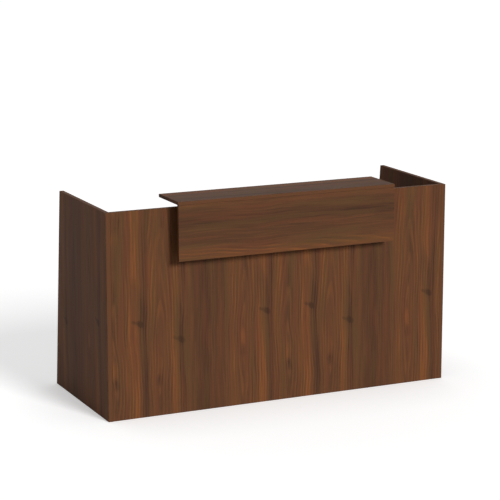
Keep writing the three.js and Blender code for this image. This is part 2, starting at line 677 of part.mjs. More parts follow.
function addGrommets() {
  const capFoot = WORKTOP_HEIGHT - CAP_THICKNESS;
  SIDES.forEach(({ name, sign }) => {
    const x = (sign * GROMMET_SPREAD) / 2;
    const sleevePlace = [x, GROMMET_CENTRE_Y, WORKTOP_HEIGHT];
    add(desk, `grommet_sleeve_${name}`, grommetSleeve(), blackPlastic, sleevePlace);
    add(desk, `grommet_cap_${name}`, grommetCap(), blackPlastic, [x, GROMMET_CENTRE_Y, capFoot]);
  });
}

// Leveller bracket: a folded plate on the panel's inner face with a nut welded on its shelf.
// The stem's axis is the group's Z axis, and the panel's face lies on its -X side.
function levellerBracket() {
  const face = FIT_GAP - LEVELLER_WALL_REACH;
  const wall = LEVELLER_BRACKET_WALL;
  const half = LEVELLER_BRACKET_WIDTH / 2;
  const tip = face + LEVELLER_BRACKET_WIDTH;
  const plate = extrude(
    outline([
      [face, LEVELLER_SHELF, LEVELLER_BRACKET_BEND],
      [tip, LEVELLER_SHELF],
      [tip, LEVELLER_SHELF + wall],
      [face + wall, LEVELLER_SHELF + wall, LEVELLER_BRACKET_BEND - wall],
      [face + wall, LEVELLER_SHELF + LEVELLER_BRACKET_HEIGHT],
      [face, LEVELLER_SHELF + LEVELLER_BRACKET_HEIGHT],
    ]),
    LEVELLER_BRACKET_WIDTH,
  );
  plate.rotateX(Math.PI / 2).translate(0, half, 0);
  const weld = wall / 2;
  const nut = rod(NUT_RADIUS, NUT_HEIGHT + weld, "z", [0, 0, LEVELLER_SHELF + weld], HEX_SIDES);
  const threadLength = wall + NUT_HEIGHT + 2 * OVERCUT;
  const threadStart = [0, 0, LEVELLER_SHELF - OVERCUT];
  const thread = rod(STEM_RADIUS + FIT_GAP, threadLength, "z", threadStart, ROUND_SIDES);
  const screwLevel = LEVELLER_SHELF + LEVELLER_BRACKET_HEIGHT - LEVELLER_SCREW_RISE;
  const screws = [-1, 1].map((sign) => {
    const start = [face - OVERCUT, (sign * LEVELLER_SCREW_SPREAD) / 2, screwLevel];
    return rod(SCREW_HOLE / 2, wall + 2 * OVERCUT, "x", start);
  });
  return cut(join([plate, nut]), [thread, ...screws]);
}

// Stem: a threaded rod with a collar that turns in the pad and a hex socket in its top
function levellerStem() {
  const foot = PAD_FLOOR_GAP + PAD_SOLE + FIT_GAP;
  const top = foot + STEM_LENGTH;
  const blank = turned(
    [
      [0, foot],
      [STEM_FOOT_RADIUS, foot],
      [STEM_FOOT_RADIUS, foot + STEM_FOOT_HEIGHT],
      [STEM_RADIUS, foot + STEM_FOOT_HEIGHT],
      [STEM_RADIUS, top - STEM_CHAMFER],
      [STEM_RADIUS - STEM_CHAMFER, top],
      [0, top],
    ],
    ROUND_SIDES,
  );
  const socketStart = [0, 0, top - STEM_SOCKET_DEPTH];
  const socket = rod(STEM_SOCKET_RADIUS, STEM_SOCKET_DEPTH + OVERCUT, "z", socketStart, HEX_SIDES);
  return cut(blank, [socket]);
}

// Pad: a disc with a coned shoulder and a pocket for the stem's collar
function levellerPad() {
  const pocket = STEM_FOOT_RADIUS + FIT_GAP;
  return turned(
    [
      [0, PAD_FLOOR_GAP],
      [PAD_RADIUS, PAD_FLOOR_GAP],
      [PAD_RADIUS, PAD_FLOOR_GAP + PAD_RIM_HEIGHT],
      [PAD_CROWN_RADIUS, PAD_FLOOR_GAP + PAD_HEIGHT],
      [pocket, PAD_FLOOR_GAP + PAD_HEIGHT],
      [pocket, PAD_FLOOR_GAP + PAD_SOLE],
      [0, PAD_FLOOR_GAP + PAD_SOLE],
    ],
    ROUND_SIDES,
  );
}

function addLeveller(name, x, y, turn) {
  const group = new THREE.Group();
  group.position.set(x, y, 0);
  group.rotation.z = turn;
  add(group, `leveller_bracket_${name}`, levellerBracket(), zincSteel, [0, 0, 0]);
  add(group, `leveller_stem_${name}`, levellerStem(), zincSteel, [0, 0, 0]);
  add(group, `leveller_pad_${name}`, levellerPad(), blackPlastic, [0, 0, 0]);
  desk.add(group);
}

function addLevellers() {
  SIDES.forEach(({ name, sign }) => {
    const x = sign * (INNER_HALF_WIDTH - LEVELLER_WALL_REACH);
    const turn = sign < 0 ? 0 : Math.PI;
    addLeveller(`front_${name}`, x, INNER_FACE + LEVELLER_END_INSET, turn);
    addLeveller(`rear_${name}`, x, END_PANEL_FOOT_DEPTH - LEVELLER_END_INSET, turn);
    const panelX = (sign * LEVELLER_PANEL_SPREAD) / 2;
    addLeveller(`panel_${name}`, panelX, INNER_FACE + LEVELLER_WALL_REACH, Math.PI / 2);
  });
}

SIDES.forEach((side) => {
  addEndPanel(side);
  CAM_LEVELS.forEach((level) => {
    addCam(side, level);
    addCamBolt(side, level);
  });
  DOWEL_LEVELS.forEach((level) => addDowel(side, level));
});
addFrontPanel();
addWorktop();
addWorktopAngles();
addStiffener();
addCounter();
addCounterBrackets();
addFasciaSpacers();
addFasciaBolts();
addGrommets();
addLevellers();

export default desk;
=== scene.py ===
# %% [markdown]
# A walnut reception desk
#
# The desk is two tapered end panels, a front panel between them, a worktop behind it, and a
# narrower raised counter with a hanging fascia. All its boards, steel and fittings come ready in
# the frame. This lesson gives every piece its finish, adds the screws that hold the steel to the
# wood, models the threaded stems and the pads of the levelling feet, and sets up the studio.
# Lengths are in metres, X runs along the front, and Z points up.

# %% Load the frame
import json
import math

import bpy
from mathutils import Matrix, Vector


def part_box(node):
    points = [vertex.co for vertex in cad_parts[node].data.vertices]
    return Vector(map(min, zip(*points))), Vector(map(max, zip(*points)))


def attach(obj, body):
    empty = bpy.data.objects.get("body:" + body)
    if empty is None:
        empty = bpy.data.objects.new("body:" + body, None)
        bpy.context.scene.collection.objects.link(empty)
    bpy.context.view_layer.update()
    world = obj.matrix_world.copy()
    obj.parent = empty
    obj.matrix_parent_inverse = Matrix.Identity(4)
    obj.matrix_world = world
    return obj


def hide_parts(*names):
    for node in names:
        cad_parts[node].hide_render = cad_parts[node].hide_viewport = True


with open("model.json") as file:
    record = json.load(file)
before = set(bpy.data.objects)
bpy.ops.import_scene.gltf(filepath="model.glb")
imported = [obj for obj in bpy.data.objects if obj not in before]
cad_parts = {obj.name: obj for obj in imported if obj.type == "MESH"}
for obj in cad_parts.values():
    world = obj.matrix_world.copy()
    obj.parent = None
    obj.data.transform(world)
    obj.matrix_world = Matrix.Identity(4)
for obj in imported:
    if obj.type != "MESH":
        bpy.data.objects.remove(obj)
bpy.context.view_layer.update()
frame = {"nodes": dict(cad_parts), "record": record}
nodes = frame["nodes"]
print("CAD nodes:", len(nodes))

# %% [markdown]
# The camera stands in front of the desk, to its left and a little above it, far off behind a long
# lens, so the edges of the front stay nearly parallel. Its place and its two turns were worked out
# from the edges of the boards, so they are written as plain sizes here.

# %% Camera
CAMERA_PLACE = (-4.381, -9.344, 2.963)
CAMERA_YAW = math.radians(25.02)
CAMERA_PITCH = math.radians(12.07)
CAMERA_LENS_MM = 138.1
CAMERA_REACH = 300.0
SENSOR_MM = 36.0

camera_data = bpy.data.cameras.new("camera")
camera_data.sensor_fit = "HORIZONTAL"
camera_data.sensor_width = SENSOR_MM
camera_data.lens = CAMERA_LENS_MM
camera_data.clip_end = CAMERA_REACH
camera = bpy.data.objects.new("camera", camera_data)
camera.location = CAMERA_PLACE
camera.rotation_euler = (math.pi / 2 - CAMERA_PITCH, 0.0, -CAMERA_YAW)
bpy.context.scene.collection.objects.link(camera)
bpy.context.scene.camera = camera
bpy.context.scene.view_settings.view_transform = "Standard"
print("camera at", CAMERA_PLACE)

# %% [markdown]
# Materials are graphs of nodes, and a graph written node by node is hard to read. So one small
# class wraps a node's output socket. Python's operators on it add Math nodes, and one method adds
# any other node: its type first, then its settings, then the values or links of its inputs.


# %% Shader expressions
class Wire:
    """An output socket of a material's node tree, for use in Python expressions."""

    def __init__(self, tree, socket):
        self.tree = tree
        self.socket = socket

    def node(self, kind, settings=None, inputs=None, output=0):
        """Adds a node and returns one of its outputs."""
        made = self.tree.nodes.new(kind)
        for name, setting in (settings or {}).items():
            if name == "stops":
                put_stops(made.color_ramp, setting)
            else:
                setattr(made, name, setting)
        feed(made, inputs or {})
        return Wire(self.tree, made.outputs[output])

    def sibling(self, output):
        """Another output of the same node."""
        return Wire(self.tree, self.socket.node.outputs[output])

    def math(self, operation, first, second=0.0):
        return self.node("ShaderNodeMath", {"operation": operation}, {0: first, 1: second})

    def __add__(self, other):
        return self.math("ADD", self, other)

    def __radd__(self, other):
        return self.math("ADD", other, self)

    def __sub__(self, other):
        return self.math("SUBTRACT", self, other)

    def __rsub__(self, other):
        return self.math("SUBTRACT", other, self)

    def __mul__(self, other):
        return self.math("MULTIPLY", self, other)

    def __rmul__(self, other):
        return self.math("MULTIPLY", other, self)

    def __truediv__(self, other):
        return self.math("DIVIDE", self, other)

    def __rtruediv__(self, other):
        return self.math("DIVIDE", other, self)

    def __abs__(self):
        return self.math("ABSOLUTE", self)

    def __gt__(self, other):
        return self.math("GREATER_THAN", self, other)

    def fraction(self):
        return self.math("FRACT", self)

    def root(self):
        return self.math("SQRT", self)

    def step(self, low, high):
        """0 below low, 1 above high, and a smooth rise between them."""
        inputs = {"Value": self, "From Min": low, "From Max": high}
        return self.node("ShaderNodeMapRange", {"interpolation_type": "SMOOTHSTEP"}, inputs)

    def ramp(self, stops):
        """A colour for each value, smooth between stops given as (value, colour)."""
        return self.node("ShaderNodeValToRGB", {"stops": stops}, {"Fac": self})

    def blend(self, first, second):
        """The first colour at 0 and the second at 1."""
        return self.node("ShaderNodeMix", {"data_type": "RGBA"}, {0: self, 6: first, 7: second}, 2)


def put_stops(ramp, stops):
    ramp.interpolation = "EASE"
    while len(ramp.elements) < len(stops):
        ramp.elements.new(1.0)
    for element, (position, colour) in zip(ramp.elements, stops):
        element.position = position
        element.color = colour


def feed(node, inputs):
    """Links wires to a node's sockets, and sets plain values on them."""
    for name, value in inputs.items():
        if isinstance(value, Wire):
            value.tree.links.new(value.socket, node.inputs[name])
        else:
            node.inputs[name].default_value = value


print("shader expressions are ready")

# %% [markdown]
# Four more helpers serve every finish: a new material with its object coordinates, noise on two
# coordinates, and colours written as they look on a screen or as a plain grey. Noise is given its
# waves per metre across and along the grain, so wood, which is streaky, gets many across and few
# along.


# %% Materials, noise and colours
def new_material(name):
    """An empty material: its principled shader and a wire from its object coordinates."""
    material = bpy.data.materials.new(name)
    material.use_nodes = True
    tree = material.node_tree
    shader = tree.nodes["Principled BSDF"]
    coordinates = tree.nodes.new("ShaderNodeTexCoord")
    return material, shader, Wire(tree, coordinates.outputs["Object"])


def paint(thing, material):
    """Makes a material the only one of an object."""
    thing.data.materials.clear()
    thing.data.materials.append(material)


def noise(across, along, waves_across, waves_along, seed, detail=2.0, roughness=0.5):
    """Noise of about 0 to 1 on two coordinates, with waves per metre for each and a seed."""
    place = {"X": across * waves_across, "Y": along * waves_along, "Z": seed}
    vector = across.node("ShaderNodeCombineXYZ", {}, place)
    inputs = {"Vector": vector, "Scale": 1.0, "Detail": detail, "Roughness": roughness}
    return across.node("ShaderNodeTexNoise", {"noise_dimensions": "3D"}, inputs)


def grain(across, along, *waves):
    """The same noise about zero."""
    return noise(across, along, *waves) - 0.5


def linear(red, green, blue):
    """A screen colour from 0 to 255, as the linear colour that shaders use."""
    def channel(value):
        share = value / 255
        return share / 12.92 if share <= 0.04045 else ((share + 0.055) / 1.055) ** 2.4

    return (channel(red), channel(green), channel(blue), 1.0)


def grey(value):
    return (value, value, value, 1.0)


print("helpers for finishes are ready")

# %% [markdown]
# The boards are faced with a walnut print. A print like this copies a sheet of veneer: leaves of
# the same log laid side by side, each with an arched figure on its left, an orange band and a knot
# on its right and a dark line at its edge, then a quiet dark leaf, and the whole sheet repeats
# every metre. An image could hold that, but a formula has no pixels. It starts by finding, for any
# place on the print, the leaf that it lies on and the place's share of that leaf's width.

# %% Leaves of the walnut print
PRINT_LEAVES = (0.2725, 0.2145, 0.251, 0.262)
LEAF_STARTS = tuple(sum(PRINT_LEAVES[:index]) for index in range(len(PRINT_LEAVES)))
QUIET_LEAF = 2
HEART_SHARE = 0.34
HEART_HEIGHT = 0.275
LAST_HEART_RISE = 0.105
HEART_WANDER = 0.035
LEAF_DRIFT = 0.10

# Each noise is given as waves per metre across and along, and a seed
SWAY = (0, 1.9, 0.3)
SWAY_REACH = 0.04
WOBBLE = (6, 2.6, 1.1)
WOBBLE_REACH = 0.03
WANDER = (7, 1.7, 0.3)

LEAF_TONES = (
    (0.0, grey(0.40)), (0.05, grey(0.58)), (0.13, grey(0.64)), (0.34, grey(0.48)), (0.60, grey(0.52)),
    (0.69, grey(0.80)), (0.78, grey(0.80)), (0.88, grey(0.40)), (0.95, grey(0.22)),
)
QUIET_TONES = (
    (0.0, grey(0.42)), (0.10, grey(0.50)), (0.25, grey(0.34)), (0.38, grey(0.20)), (0.50, grey(0.20)),
    (0.64, grey(0.32)), (0.85, grey(0.34)), (1.0, grey(0.46)),
)


class Leaf:
    """A place on the print: where it lies on the sheet, and on one leaf of the sheet."""

    def __init__(self, across, along):
        self.along = along
        sway = grain(across, along, *SWAY)
        wobble = grain(across, along, *WOBBLE)
        self.sheet = (across + sway * SWAY_REACH + wobble * WOBBLE_REACH).fraction()
        past = [self.sheet > start for start in LEAF_STARTS[1:]]
        start = sum(over * width for over, width in zip(past, PRINT_LEAVES))
        changes = [after - before for before, after in zip(PRINT_LEAVES, PRINT_LEAVES[1:])]
        width = PRINT_LEAVES[0] + sum(over * change for over, change in zip(past, changes))
        self.is_last = past[QUIET_LEAF]
        self.is_quiet = past[QUIET_LEAF - 1] - past[QUIET_LEAF]
        self.is_figured = 1 - self.is_quiet
        self.share = (self.sheet - start) / width
        self.wander = grain(start, along, *WANDER)
        self.from_heart = (self.share - HEART_SHARE) * width + self.wander * HEART_WANDER
        self.above_heart = along - (HEART_HEIGHT + self.is_last * LAST_HEART_RISE)

    def noise(self, *waves):
        return noise(self.sheet, self.along, *waves)

    def grain(self, *waves):
        return grain(self.sheet, self.along, *waves)

    def ground(self):
        """How light the leaf is from one edge to the other, before its figure."""
        middle = self.share * (1 - self.share) * 4
        drift = self.share + self.wander * middle * LEAF_DRIFT
        return self.is_quiet.blend(drift.ramp(LEAF_TONES), drift.ramp(QUIET_TONES))


print("walnut print of", len(PRINT_LEAVES), "leaves,", round(sum(PRINT_LEAVES), 3), "m wide")

# %% [markdown]
# Growth rings come from distance: how far a place is from the heart of its leaf, with the height
# counting for little, gives long arches. They are strong in some patches and faint in others. The
# heart has a light flame with a dark eye below it. Each knot is a leaning oval with a smaller one
# beside it, and above it the orange band is broken.

# %% Figure of the walnut print
RING_PITCH = 0.016
RING_TAPER = 0.085
RING_RIPPLE = 0.010
RING_RISE = (0.25, 0.75)
RING_FALL = (0.78, 1.0)
RING_MEAN = 0.38
RIPPLE_WAVES = (38, 2.3, 2.1)
PATCH_WAVES = (34, 4.0, 3.4, 3.0)
PATCH_EDGES = (0.38, 0.62)
FAINT_RING = 0.15

FLAME_WIDTH = 0.013
FLAME_HEIGHT = 0.055
FLAME_EDGES = (-0.3, 0.6)
FLAME_LIGHT = 0.28
LAST_FLAME_LIGHT = 0.32
EYE_WIDTH = 0.021
EYE_HEIGHT = 0.036
EYE_DROP = 0.085
EYE_EDGES = (-0.4, 0.8)
EYE_DARKNESS = 0.30

KNOTS = ((0.232, 0.506), (0.469, 0.401), (0.963, 0.505))
KNOT_SIZE = (0.024, 0.018)
KNOT_EDGES = (-0.3, 0.6)
KNOT_LEAN = 0.5
SIDE_KNOT_OFFSET = (-0.034, 0.012)
SIDE_KNOT_SCALE = 0.6
SIDE_KNOT_EDGES = (-0.3, 0.7)
SIDE_KNOT_SHARE = 0.7
BREAK_OFFSET = (-0.02, 0.10)
BREAK_SIZE = (0.055, 0.16)
BREAK_EDGES = (0.0, 0.6)


def growth_rings(leaf):
    """Light and dark lines about zero that arch round the heart of a leaf."""
    depth = leaf.above_heart * RING_TAPER
    ripple = leaf.grain(*RIPPLE_WAVES) * RING_RIPPLE
    distance = (leaf.from_heart * leaf.from_heart + depth * depth).root() + ripple
    ring = (distance / RING_PITCH).fraction()
    line = ring.step(*RING_RISE) - ring.step(*RING_FALL) - RING_MEAN
    patch = leaf.noise(*PATCH_WAVES).step(*PATCH_EDGES)
    return line * leaf.is_figured * (FAINT_RING + patch * (1 - FAINT_RING))


def oval(aside, above):
    """1 in the middle of an oval, 0 on its outline and less outside."""
    return 1 - (aside * aside + above * above).root()


def heart_marks(leaf):
    """The flame and the eye at the heart of a leaf."""
    flame = oval(leaf.from_heart / FLAME_WIDTH, leaf.above_heart / FLAME_HEIGHT).step(*FLAME_EDGES)
    eye = oval(leaf.from_heart / EYE_WIDTH, (leaf.above_heart + EYE_DROP) / EYE_HEIGHT).step(*EYE_EDGES)
    flame_light = FLAME_LIGHT + leaf.is_last * LAST_FLAME_LIGHT
    return leaf.is_figured * (flame * flame_light - eye * EYE_DARKNESS)


def knot_oval(leaf, knot, offset, size):
    aside = (leaf.sheet - (knot[0] + offset[0])) / size[0]
    above = (leaf.along - (knot[1] + offset[1])) / size[1] + aside * KNOT_LEAN
    return oval(aside, above)


def knot_marks(leaf):
    """The knots, and the breaks in the band above them."""
    side_size = [size * SIDE_KNOT_SCALE for size in KNOT_SIZE]
    dark = []
    breaks = []
    for knot in KNOTS:
        dark.append(knot_oval(leaf, knot, (0, 0), KNOT_SIZE).step(*KNOT_EDGES))
        side = knot_oval(leaf, knot, SIDE_KNOT_OFFSET, side_size)
        dark.append(side.step(*SIDE_KNOT_EDGES) * SIDE_KNOT_SHARE)
        breaks.append(knot_oval(leaf, knot, BREAK_OFFSET, BREAK_SIZE).step(*BREAK_EDGES))
    return sum(dark), sum(breaks)


print("figure: rings", RING_PITCH, "m apart and", len(KNOTS), "knots to a sheet")

# %% [markdown]
# All of this adds up to one number, the tone, and a ramp turns the tone into the browns of the
# desk. Slow noise then tints the browns olive in places and red in others, and very fine noise
# draws the dark pores. The edging strips carry a plainer print along the edge.

# %% Colours of the walnut print
DARK_WALNUT = linear(70, 48, 36)
DEEP_WALNUT = linear(86, 58, 41)
MID_WALNUT = linear(98, 65, 44)
WARM_WALNUT = linear(110, 70, 44)
ORANGE_WALNUT = linear(127, 79, 46)
OLIVE_WALNUT = linear(92, 68, 43)
RED_WALNUT = linear(101, 61, 43)
PORE_BROWN = linear(52, 36, 28)
WALNUT_TONES = (
    (0.0, DARK_WALNUT), (0.25, DEEP_WALNUT), (0.5, MID_WALNUT), (0.75, WARM_WALNUT), (1.0, ORANGE_WALNUT),
)
EDGING_TONES = ((0.0, DEEP_WALNUT), (0.5, MID_WALNUT), (1.0, WARM_WALNUT))

# Waves across and along and a seed, then the noise's detail and roughness
BROAD_WAVES = (26, 1.9, 4.7)
STREAK_WAVES = (150, 3.2, 7.9, 4.0, 0.6)
FINE_WAVES = (620, 9.0, 9.2, 3.0, 0.6)
HUE_WAVES = (24, 1.6, 13.0, 1.0)
PORE_WAVES = (1400, 26, 17.0, 2.0, 0.6)
EDGING_STREAK_WAVES = (190, 3.0, 23.0, 4.0, 0.6)
EDGING_BROAD_WAVES = (40, 4.5, 29.0)

BROAD_WEIGHT = 0.52
STREAK_WEIGHT = 0.96
FINE_WEIGHT = 0.26
RING_WEIGHT = 0.42
BREAK_WEIGHT = 0.22
KNOT_WEIGHT = 0.42
OLIVE_HUES = (0.50, 0.68)
OLIVE_SHARE = 0.48
RED_HUES = (0.32, 0.50)
RED_SHARE = 0.50
KNOT_STAIN = 0.22
PORE_EDGES = (0.60, 0.72)
PORE_STAIN = 0.45
EDGING_TONE = 0.55
EDGING_STREAK_WEIGHT = 0.5
EDGING_BROAD_WEIGHT = 0.3


def walnut_print(across, along):
    """Colour, pores and streaks of the print at a place across and along its grain."""
    leaf = Leaf(across, along)
    streak = leaf.grain(*STREAK_WAVES)
    knot, band_break = knot_marks(leaf)
    tone = (
        leaf.ground()
        + leaf.grain(*BROAD_WAVES) * BROAD_WEIGHT
        + streak * STREAK_WEIGHT
        + leaf.grain(*FINE_WAVES) * FINE_WEIGHT
        + growth_rings(leaf) * RING_WEIGHT
        + heart_marks(leaf)
        - band_break * BREAK_WEIGHT
        - knot * KNOT_WEIGHT
    )
    hue = leaf.noise(*HUE_WAVES)
    pores = leaf.noise(*PORE_WAVES).step(*PORE_EDGES)
    colour = tone.ramp(WALNUT_TONES)
    colour = (hue.step(*OLIVE_HUES) * OLIVE_SHARE).blend(colour, OLIVE_WALNUT)
    colour = ((1 - hue.step(*RED_HUES)) * RED_SHARE).blend(colour, RED_WALNUT)
    colour = (knot * KNOT_STAIN).blend(colour, PORE_BROWN)
    colour = (pores * PORE_STAIN).blend(colour, PORE_BROWN)
    return colour, pores, streak


def edging_print(through, along):
    """Colour of the edging strip at a place through the board and along its edge."""
    streak = grain(through, along, *EDGING_STREAK_WAVES) * EDGING_STREAK_WEIGHT
    broad = grain(through, along, *EDGING_BROAD_WAVES) * EDGING_BROAD_WEIGHT
    return (EDGING_TONE + streak + broad).ramp(EDGING_TONES)


print("print tones:", len(WALNUT_TONES), "browns")

# %% [markdown]
# Each board is cut from such a sheet in its own way. The front and the end panels have the grain
# upright, and the counter, its fascia and the worktop have it along the front. Where the print
# starts on each board is set here, so that the bands and knots fall where they do on the desk. A
# face that doesn't point along the board's thin axis is an edge, and it gets the edging print.

# %% Finish the boards
BOARD_ROUGHNESS = 0.50
BOARD_SPECULAR = 0.02
SHEEN_WAVES = (9, 3, 31.0)
SHEEN_WEIGHT = 0.08
PORE_ROUGHNESS = 0.12
STREAK_ROUGHNESS = 0.06
PORE_RELIEF = 0.12
PORE_DEPTH = 0.0002
FACE_TURN = (0.55, 0.85)

# The axis, the sign and the start of the print across and along the grain, then the thin axis
BOARD_CUTS = {
    "front_panel": (("X", 1, 1.05), ("Z", 1, 0.0), "Y"),
    "left_end_panel": (("Y", -1, 0.730), ("Z", 1, 0.0), "X"),
    "right_end_panel": (("Y", 1, 0.62), ("Z", 1, 0.0), "X"),
    "counter_fascia": (("Z", -1, 1.632), ("X", 1, 1.3), "Y"),
    "counter_top": (("Y", -1, 0.20), ("X", 1, 1.9), "Z"),
    "worktop": (("Y", -1, 1.10), ("X", 1, 1.5), "Z"),
}


def walnut_board(name, across_cut, along_cut, through):
    """A board's finish, from the two cuts of its print and its thin axis."""
    material, shader, place = new_material(name)
    axes = place.node("ShaderNodeSeparateXYZ", {}, {"Vector": place})
    normal = place.node("ShaderNodeSeparateXYZ", {}, {"Vector": place.sibling("Normal")}, through)

    def measure(axis, sign, start):
        return start + axes.sibling(axis) * sign

    across = measure(*across_cut)
    along = measure(*along_cut)
    face, pores, streak = walnut_print(across, along)
    edging = edging_print(axes.sibling(through), across + along)
    is_edge = 1 - abs(normal).step(*FACE_TURN)
    sheen = grain(across, along, *SHEEN_WAVES) * SHEEN_WEIGHT
    relief = {"Height": pores * -1.0, "Strength": PORE_RELIEF, "Distance": PORE_DEPTH}
    feed(shader, {
        "Base Color": is_edge.blend(face, edging),
        "Roughness": BOARD_ROUGHNESS + sheen + pores * PORE_ROUGHNESS + streak * STREAK_ROUGHNESS,
        "Normal": place.node("ShaderNodeBump", {}, relief),
        "Specular IOR Level": BOARD_SPECULAR,
    })
    return material


for board, cuts in BOARD_CUTS.items():
    paint(nodes[board], walnut_board("walnut_" + board, *cuts))
print("boards finished:", ", ".join(BOARD_CUTS))

# %% [markdown]
# The steel that carries the boards is powder-coated black: baked powder melts into a skin with a
# faint orange peel. Fittings from the hardware shop are zinc-plated steel, whose colour clouds a
# little, and the grommets and foot pads are moulded in black plastic with a fine eroded texture.
# All three are even finishes, so noise on the object's own coordinates is enough. The dowels are
# turned beech, with short flecks along them.

# %% Finish the steel, the fittings and the plastic
CLOUD_EDGES = (0.35, 0.65)
CLOUD_ROUGHNESS = 0.2
GRAIN_ROUGHNESS = 0.15
GRAIN_RELIEF = 0.5
BEECH_WAVES = (900, 120, 3.0, 3.0)
BEECH_TONES = ((0.3, linear(176, 130, 88)), (0.7, linear(212, 170, 124)))
BEECH_ROUGHNESS = 0.6
FLECK_ROUGHNESS = 0.2


def clouded(name, colours, cloud_size, rough, grain_size, grain_depth, values):
    """An even finish: two colours in soft clouds, and a fine grain in its relief and gloss."""
    material, shader, place = new_material(name)
    cloud_inputs = {"Vector": place, "Scale": 1 / cloud_size, "Detail": 3.0}
    clouds = place.node("ShaderNodeTexNoise", {}, cloud_inputs)
    grain_inputs = {"Vector": place, "Scale": 1 / grain_size, "Detail": 2.0}
    specks = place.node("ShaderNodeTexNoise", {}, grain_inputs)
    relief = {"Height": specks, "Strength": GRAIN_RELIEF, "Distance": grain_depth}
    feed(shader, {
        "Base Color": clouds.step(*CLOUD_EDGES).blend(*colours),
        "Roughness": rough + (clouds - 0.5) * CLOUD_ROUGHNESS + (specks - 0.5) * GRAIN_ROUGHNESS,
        "Normal": place.node("ShaderNodeBump", {}, relief),
        **values,
    })
    return material


def beech_wood():
    """Turned beech: pale, with short flecks along the dowel."""
    material, shader, place = new_material("beech")
    axes = place.node("ShaderNodeSeparateXYZ", {}, {"Vector": place})
    fleck = noise(axes.sibling("Y") + axes.sibling("Z"), axes.sibling("X"), *BEECH_WAVES)
    rough = BEECH_ROUGHNESS + (fleck - 0.5) * FLECK_ROUGHNESS
    feed(shader, {"Base Color": fleck.ramp(BEECH_TONES), "Roughness": rough})
    return material


FINISHES = {
    "black_steel": clouded(
        "black_powder_coat", (grey(0.016), grey(0.022)), cloud_size=0.08, rough=0.45,
        grain_size=0.0012, grain_depth=0.00012, values={"Specular IOR Level": 0.4}),
    "zinc_steel": clouded(
        "zinc_plate", ((0.42, 0.43, 0.45, 1.0), (0.52, 0.52, 0.50, 1.0)), cloud_size=0.03, rough=0.34,
        grain_size=0.0006, grain_depth=0.00003, values={"Metallic": 1.0}),
    "black_plastic": clouded(
        "moulded_black_plastic", (grey(0.012), grey(0.016)), cloud_size=0.05, rough=0.52,
        grain_size=0.0007, grain_depth=0.00006, values={"Specular IOR Level": 0.4}),
    "beech": beech_wood(),
}
for subpart in frame["record"]["subparts"]:
    if subpart["material_slot"] in FINISHES:
        paint(nodes[subpart["node"]], FINISHES[subpart["material_slot"]])
print("finishes:", ", ".join(FINISHES))

# %% [markdown]
# New pieces are modelled as by hand: a primitive is added, some of its faces or edges are picked,
# and edit-mode tools shape them. By hand one clicks on what to pick. A script picks by a test, such
# as whether a face points up or an edge lies at a certain height. A Boolean modifier then joins or
# cuts with a second shape, which is deleted afterwards.

# %% Modelling helpers
TOUCH = 1e-6


def only(thing):
    """Leaves one object selected and active."""
    bpy.ops.object.select_all(action="DESELECT")
    thing.select_set(True)
    bpy.context.view_layer.objects.active = thing


def pick(thing, kind, test):
    """Selects a mesh's faces or edges by a test on them, and enters edit mode."""
    only(thing)
    bpy.ops.object.mode_set(mode="EDIT")
    bpy.ops.mesh.select_mode(type=kind)
    bpy.ops.mesh.select_all(action="DESELECT")
    bpy.ops.object.mode_set(mode="OBJECT")
    items = thing.data.polygons if kind == "FACE" else thing.data.edges
    for item in items:
        item.select = test(item)
    bpy.ops.object.mode_set(mode="EDIT")


def done():
    bpy.ops.object.mode_set(mode="OBJECT")


def faces_up(face):
    return face.normal.z > 0.9


def faces_down(face):
    return face.normal.z < -0.9


def edge_is_at(thing, height):
    """A test for edges that lie level at a height."""
    def test(edge):
        return all(abs(thing.data.vertices[index].co.z - height) < TOUCH for index in edge.vertices)
    return test


def cylinder(sides, radius, bottom, top):
    """A plain cylinder about Z, with its origin at the world's."""
    bpy.ops.object.select_all(action="DESELECT")
    bpy.ops.mesh.primitive_cylinder_add(
        vertices=sides, radius=radius, depth=top - bottom, location=(0, 0, (bottom + top) / 2))
    bpy.ops.object.transform_apply(location=True)
    return bpy.context.object


def combine(thing, tool, operation):
    """Applies a Boolean modifier with another object, and removes that object."""
    only(thing)
    modifier = thing.modifiers.new("combine", "BOOLEAN")
    modifier.operation = operation
    modifier.object = tool
    bpy.ops.object.modifier_apply(modifier=modifier.name)
    bpy.data.objects.remove(tool)


def extrude(x, z):
    """Extrudes what is picked, by a distance along X and Z."""
    bpy.ops.mesh.extrude_region_move(TRANSFORM_OT_translate={"value": (x, 0, z)})


def smooth(thing, degrees):
    """Shades smooth across every edge that turns by less than an angle."""
    only(thing)
    bpy.ops.object.shade_smooth_by_angle(angle=math.radians(degrees))


print("modelling helpers are ready")

# %% [markdown]
# Pan-head screws hold the steel to the boards. One is modelled: a low cylinder whose top edge is
# bevelled round, with a cross recess cut by a Boolean modifier from two crossed wedges. Its
# underside is inset and extruded into a short shank, which goes into the hole.

# %% Model one screw
SCREW_SIDES = 20
SCREW_HEAD_RADIUS = 0.0042
SCREW_HEAD_HEIGHT = 0.0024
SCREW_ROUNDING = 0.0014
SCREW_SHANK_RADIUS = 0.0022
SCREW_SHANK_LENGTH = 0.006
RECESS_LENGTH = 0.0046
RECESS_WIDTH = 0.0011
RECESS_DEPTH = 0.0015
RECESS_TAPER = 0.6


def recess_wedge(turn):
    """A block that narrows downwards, for one arm of the cross."""
    bpy.ops.object.select_all(action="DESELECT")
    bpy.ops.mesh.primitive_cube_add(size=1.0)
    wedge = bpy.context.object
    wedge.scale = (RECESS_LENGTH, RECESS_WIDTH, 2 * RECESS_DEPTH)
    wedge.location.z = SCREW_HEAD_HEIGHT
    wedge.rotation_euler.z = turn
    bpy.ops.object.transform_apply(location=True, rotation=True, scale=True)
    pick(wedge, "FACE", faces_down)
    bpy.ops.transform.resize(value=(RECESS_TAPER, RECESS_TAPER, 1.0))
    done()
    return wedge


